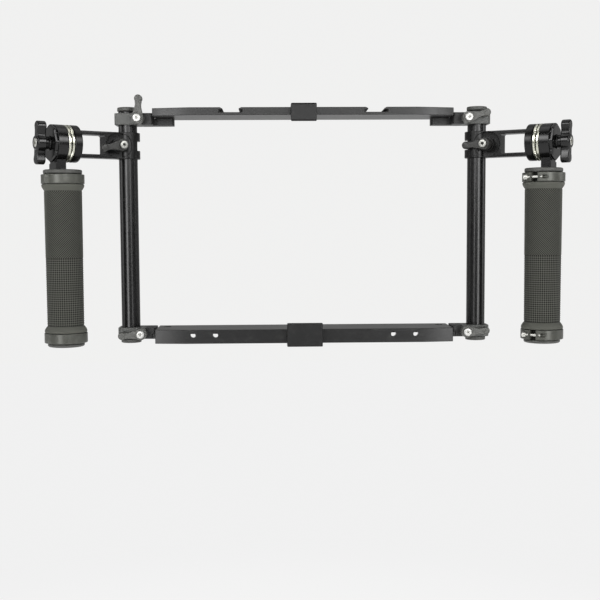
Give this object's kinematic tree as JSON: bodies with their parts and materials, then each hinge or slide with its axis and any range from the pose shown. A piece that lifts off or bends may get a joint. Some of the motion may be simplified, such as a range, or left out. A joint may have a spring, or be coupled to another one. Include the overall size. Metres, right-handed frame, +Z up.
{
  "type": "monitor cage",
  "caption": "Rod cage for a field monitor: top and bottom plates on side rods, lever clamps, and swing arms with toothed joints that carry rubber hand grips.",
  "frame": {"origin": "middle of the stand socket's rim, under the bottom plate, in the plane of the two rods", "axes": "+X to the cage's right as seen from the front, -Y out of its front, +Z up along the rods"},
  "size_m": [0.4217, 0.0667, 0.2032],
  "materials": {
    "black_anodised": "black anodised, fine satin",
    "satin_black": "black anodised, bead blasted",
    "black_rubber": "matte, fine knurl",
    "bright_steel": "bright turned steel",
    "black_steel": "black oxide"
  },
  "bodies": {
    "base": {"bottom_plate": "black_anodised", "bottom_clip": "black_anodised", "bottom_clip_screw": "black_steel", "rod_left": "black_anodised", "rod_right": "black_anodised", "rod_cap_top_left": "black_anodised", "rod_cap_top_right": "black_anodised", "rod_cap_bottom_left": "black_anodised", "rod_cap_bottom_right": "black_anodised", "corner_clamp_bottom_left": "satin_black", "corner_clamp_bottom_right": "satin_black", "corner_bolt_bottom_left": "black_steel", "corner_bolt_bottom_right": "black_steel"},
    "top_carriage": {"top_plate": "black_anodised", "top_clip": "black_anodised", "top_clip_screw": "black_steel", "corner_clamp_top_left": "satin_black", "corner_clamp_top_right": "satin_black", "corner_bolt_top_left": "black_steel", "corner_bolt_top_right": "black_steel"},
    "corner_lever_top_left": {"corner_lever_top_left": "satin_black", "corner_lever_top_left_screw": "bright_steel"},
    "corner_lever_top_right": {"corner_lever_top_right": "satin_black", "corner_lever_top_right_screw": "bright_steel"},
    "corner_lever_bottom_left": {"corner_lever_bottom_left": "satin_black", "corner_lever_bottom_left_screw": "bright_steel"},
    "corner_lever_bottom_right": {"corner_lever_bottom_right": "satin_black", "corner_lever_bottom_right_screw": "bright_steel"},
    "arm_right": {"arm_right": "black_anodised", "arm_rosette_right": "bright_steel"},
    "arm_lever_right": {"arm_lever_right": "black_anodised", "arm_lever_right_screw": "bright_steel"},
    "handle_right": {"handle_rosette_right": "bright_steel", "handle_head_right": "black_anodised", "pressure_washer_right": "black_anodised", "handle_core_right": "black_anodised", "grip_sleeve_right": "black_rubber", "lock_ring_top_right": "satin_black", "lock_ring_bottom_right": "satin_black", "lock_screw_top_right": "bright_steel", "lock_screw_bottom_right": "bright_steel", "end_cap_right": "black_anodised"},
    "knob_right": {"wing_knob_right": "black_anodised", "knob_screw_right": "bright_steel"},
    "arm_left": {"arm_left": "black_anodised", "arm_rosette_left": "bright_steel"},
    "arm_lever_left": {"arm_lever_left": "black_anodised", "arm_lever_left_screw": "bright_steel"},
    "handle_left": {"handle_rosette_left": "bright_steel", "handle_head_left": "black_anodised", "pressure_washer_left": "black_anodised", "handle_core_left": "black_anodised", "grip_sleeve_left": "black_rubber", "lock_ring_top_left": "satin_black", "lock_ring_bottom_left": "satin_black", "lock_screw_top_left": "bright_steel", "lock_screw_bottom_left": "bright_steel", "end_cap_left": "black_anodised"},
    "knob_left": {"wing_knob_left": "black_anodised", "knob_screw_left": "bright_steel"}
  },
  "joints": [
    {"name": "top_plate_slide", "type": "slide", "parent": "base", "child": "top_carriage", "axis": [0, 0, 1], "range_m": [-0.0055, 0.0015]},
    {"name": "corner_lever_turn_top_left", "type": "hinge", "parent": "top_carriage", "child": "corner_lever_top_left", "pos_m": [-0.1324, 0, 0.18475], "axis": [0, -1, 0], "range_deg": [-26.5, 93.5]},
    {"name": "corner_lever_turn_top_right", "type": "hinge", "parent": "top_carriage", "child": "corner_lever_top_right", "pos_m": [0.1324, 0, 0.18475], "axis": [0, 1, 0], "range_deg": [-105.5, 14.5]},
    {"name": "corner_lever_turn_bottom_left", "type": "hinge", "parent": "base", "child": "corner_lever_bottom_left", "pos_m": [-0.1324, 0, 0.01175], "axis": [0, -1, 0], "range_deg": [-125.5, 54.5]},
    {"name": "corner_lever_turn_bottom_right", "type": "hinge", "parent": "base", "child": "corner_lever_bottom_right", "pos_m": [0.1324, 0, 0.01175], "axis": [0, 1, 0], "range_deg": [-117.5, 62.5]},
    {"name": "arm_swing_right", "type": "hinge", "parent": "base", "child": "arm_right", "pos_m": [0.1423, 0, 0.16355], "axis": [0, 0, 1], "range_deg": [-40, 90]},
    {"name": "arm_lever_turn_right", "type": "hinge", "parent": "arm_right", "child": "arm_lever_right", "pos_m": [0.15182, -0.0059, 0.16355], "axis": [0.527, 0.8499, 0], "range_deg": [-60, 25]},
    {"name": "handle_turn_right", "type": "hinge", "parent": "arm_right", "child": "handle_right", "pos_m": [0.1423, 0, 0.16355], "axis": [0.8499, -0.527, 0], "continuous": true},
    {"name": "knob_turn_right", "type": "hinge", "parent": "handle_right", "child": "knob_right", "pos_m": [0.1423, 0, 0.16355], "axis": [0.8499, -0.527, 0], "continuous": true},
    {"name": "arm_swing_left", "type": "hinge", "parent": "base", "child": "arm_left", "pos_m": [-0.1423, 0, 0.16355], "axis": [0, 0, 1], "range_deg": [-90, 40]},
    {"name": "arm_lever_turn_left", "type": "hinge", "parent": "arm_left", "child": "arm_lever_left", "pos_m": [-0.15167, -0.00613, 0.16355], "axis": [0.5476, -0.8368, 0], "range_deg": [-35, 60]},
    {"name": "handle_turn_left", "type": "hinge", "parent": "arm_left", "child": "handle_left", "pos_m": [-0.1423, 0, 0.16355], "axis": [-0.8368, -0.5476, 0], "continuous": true},
    {"name": "knob_turn_left", "type": "hinge", "parent": "handle_left", "child": "knob_left", "pos_m": [-0.1423, 0, 0.16355], "axis": [-0.8368, -0.5476, 0], "continuous": true}
  ]
}
